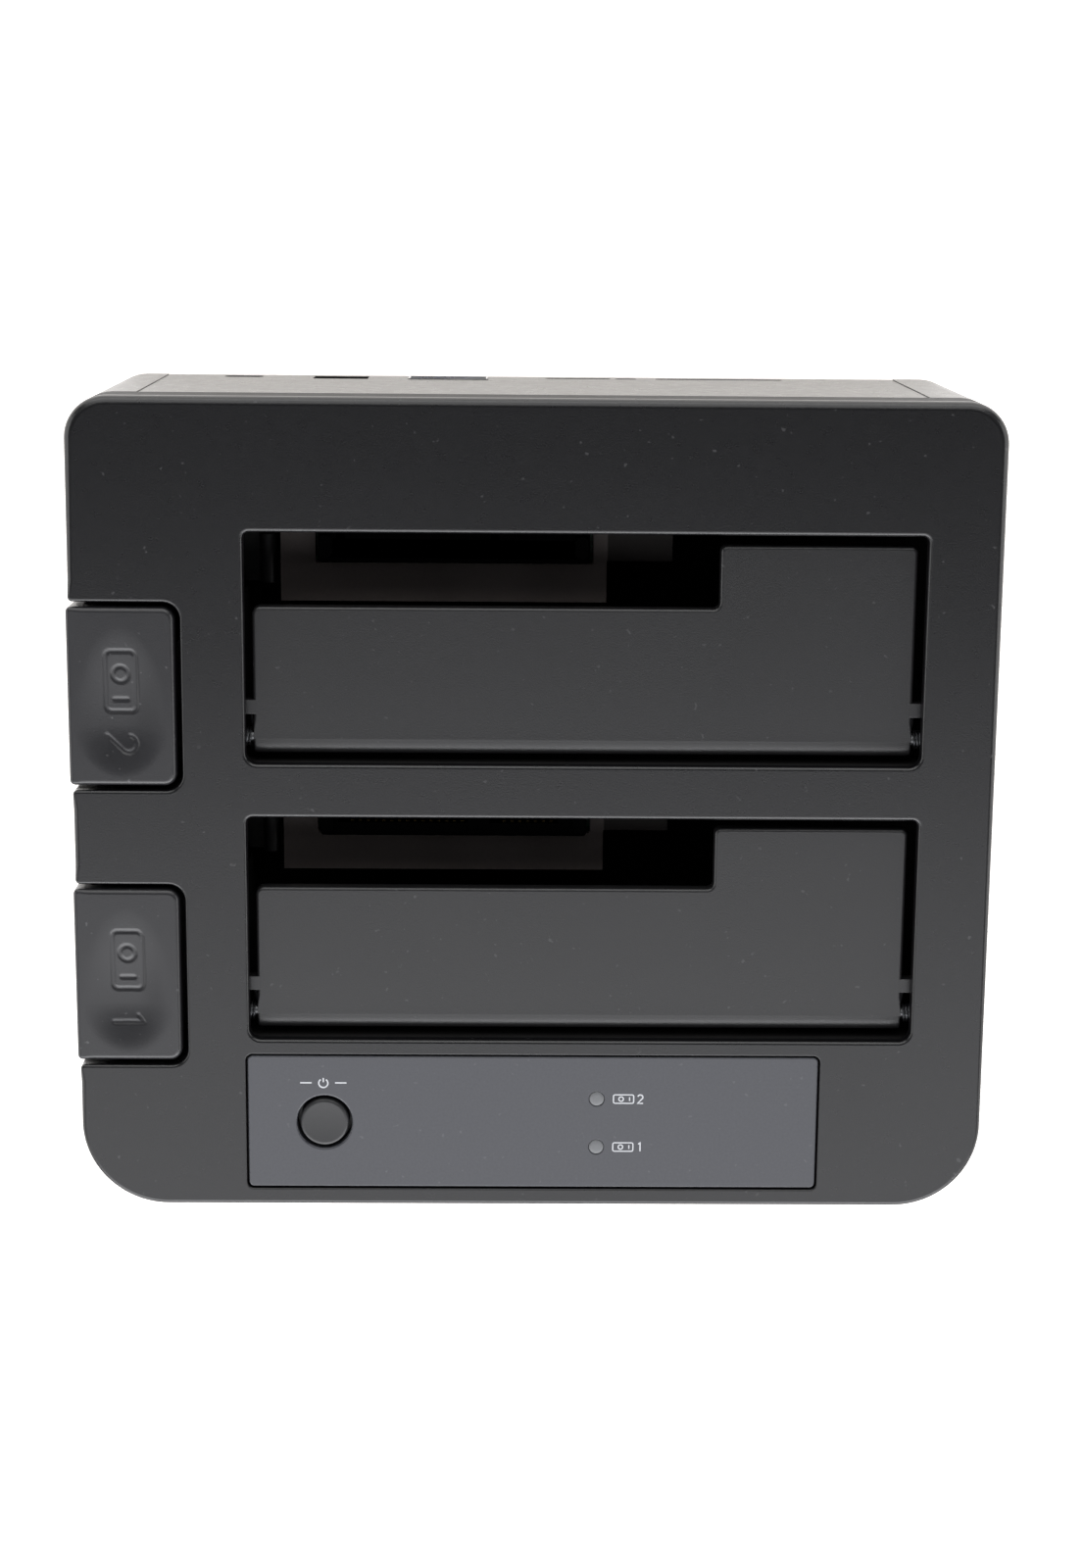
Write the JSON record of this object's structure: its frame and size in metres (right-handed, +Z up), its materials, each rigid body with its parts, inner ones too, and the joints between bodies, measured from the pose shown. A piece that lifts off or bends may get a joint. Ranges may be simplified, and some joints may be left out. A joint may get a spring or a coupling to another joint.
{
  "type": "nas enclosure",
  "caption": "Low desktop drive enclosure with top-loading slots behind sprung flaps, eject buttons on one side, a glossy control strip and rear sockets.",
  "frame": {"origin": "on the desk surface under the middle of the case, at the bottom of the rubber feet", "axes": "+Z up; +Y towards the rear, where the sockets are; +X to the right as seen from the front, so the eject buttons are at -X"},
  "size_m": [0.1426, 0.1278, 0.054],
  "materials": {
    "cover_plastic": "fine matte texture",
    "case_plastic": "fine matte texture",
    "rear_plastic": "fine matte texture",
    "well_plastic": "smooth matte",
    "platform_plastic": "smooth matte",
    "flap_plastic": "fine matte texture",
    "button_plastic": "fine matte texture",
    "lever_plastic": "smooth matte",
    "power_plastic": "satin",
    "panel_gloss": "gloss",
    "foot_rubber": "matte rubber",
    "connector_plastic": "satin",
    "chip_resin": "matte",
    "ferrite": "matte",
    "circuit_board": "solder resist",
    "capacitor_sleeve": "gloss sleeve",
    "blue_insert": "satin",
    "light_pipe": "frosted",
    "led_lens": "clear",
    "ribbon_film": "film",
    "screw_steel": "zinc plated",
    "bright_steel": "ground",
    "spring_steel": "drawn wire",
    "shell_metal": "nickel plated",
    "standoff_brass": "machined",
    "gold_contact": "gold flashed"
  },
  "bodies": {
    "case": {"top_cover": "cover_plastic", "lower_case": "case_plastic", "rear_panel": "rear_plastic", "rubber_feet": "foot_rubber", "case_screws": "screw_steel", "drive_well_rear": "well_plastic", "drive_well_front": "well_plastic", "dock_platform_rear": "platform_plastic", "dock_platform_front": "platform_plastic", "button_bracket_rear": "lever_plastic", "button_bracket_front": "lever_plastic", "standoffs": "standoff_brass", "well_screws": "screw_steel", "flap_pins": "bright_steel", "flap_springs_rear": "spring_steel", "flap_springs_front": "spring_steel", "sata_receptacle_rear": "connector_plastic", "sata_receptacle_front": "connector_plastic", "sata_contacts": "gold_contact", "dock_board_rear": "circuit_board", "dock_board_front": "circuit_board", "riser_headers": "connector_plastic", "main_board": "circuit_board", "board_screws": "screw_steel", "controller_chips": "chip_resin", "capacitors": "capacitor_sleeve", "power_coils": "ferrite", "dc_jack": "connector_plastic", "dc_jack_pin": "bright_steel", "usb_shell": "shell_metal", "usb_tongue": "blue_insert", "eject_springs_rear": "spring_steel", "eject_springs_front": "spring_steel", "lever_pins": "bright_steel", "control_panel": "panel_gloss", "power_switch": "connector_plastic", "front_board": "circuit_board", "front_board_screws": "screw_steel", "status_leds": "led_lens", "light_pipes": "light_pipe", "panel_ribbon": "ribbon_film"},
    "flap_rear": {"flap_rear": "flap_plastic"},
    "flap_front": {"flap_front": "flap_plastic"},
    "button_rear": {"eject_button_rear": "button_plastic"},
    "button_front": {"eject_button_front": "button_plastic"},
    "lever_rear": {"eject_lever_rear": "lever_plastic"},
    "lever_front": {"eject_lever_front": "lever_plastic"},
    "power_button": {"power_button": "power_plastic"}
  },
  "joints": [
    {"name": "flap_rear_hinge", "type": "hinge", "parent": "case", "child": "flap_rear", "pos_m": [0.0074, 0.0113, 0.0494], "axis": [-1, 0, 0], "range_deg": [0, 86], "stiffness_Nm_per_rad": 0.008, "springref_deg": -34.38, "deforming": ["flap_springs_rear"]},
    {"name": "button_rear_press", "type": "slide", "parent": "case", "child": "button_rear", "axis": [0, 0, -1], "range_m": [0, 0.0035], "stiffness_N_per_m": 300, "springref_m": -0.004, "deforming": ["eject_springs_rear"]},
    {"name": "lever_rear_pivot", "type": "hinge", "parent": "case", "child": "lever_rear", "pos_m": [-0.056, 0.0297, 0.027], "axis": [0, -1, 0], "range_deg": [0, 28.2]},
    {"name": "flap_front_hinge", "type": "hinge", "parent": "case", "child": "flap_front", "pos_m": [0.0074, -0.0329, 0.0494], "axis": [-1, 0, 0], "range_deg": [0, 86], "stiffness_Nm_per_rad": 0.008, "springref_deg": -34.38, "deforming": ["flap_springs_front"]},
    {"name": "button_front_press", "type": "slide", "parent": "case", "child": "button_front", "axis": [0, 0, -1], "range_m": [0, 0.0035], "stiffness_N_per_m": 300, "springref_m": -0.004, "deforming": ["eject_springs_front"]},
    {"name": "lever_front_pivot", "type": "hinge", "parent": "case", "child": "lever_front", "pos_m": [-0.056, -0.0145, 0.027], "axis": [0, -1, 0], "range_deg": [0, 28.2]},
    {"name": "power_button_press", "type": "slide", "parent": "case", "child": "power_button", "axis": [0, 0, -1], "range_m": [0, 0.001], "stiffness_N_per_m": 150, "springref_m": -0.003}
  ],
  "couplings": [
    {"joint": "lever_rear_pivot", "follows": "button_rear_press", "rad_per_m": 139.62},
    {"joint": "lever_front_pivot", "follows": "button_front_press", "rad_per_m": 139.62}
  ]
}
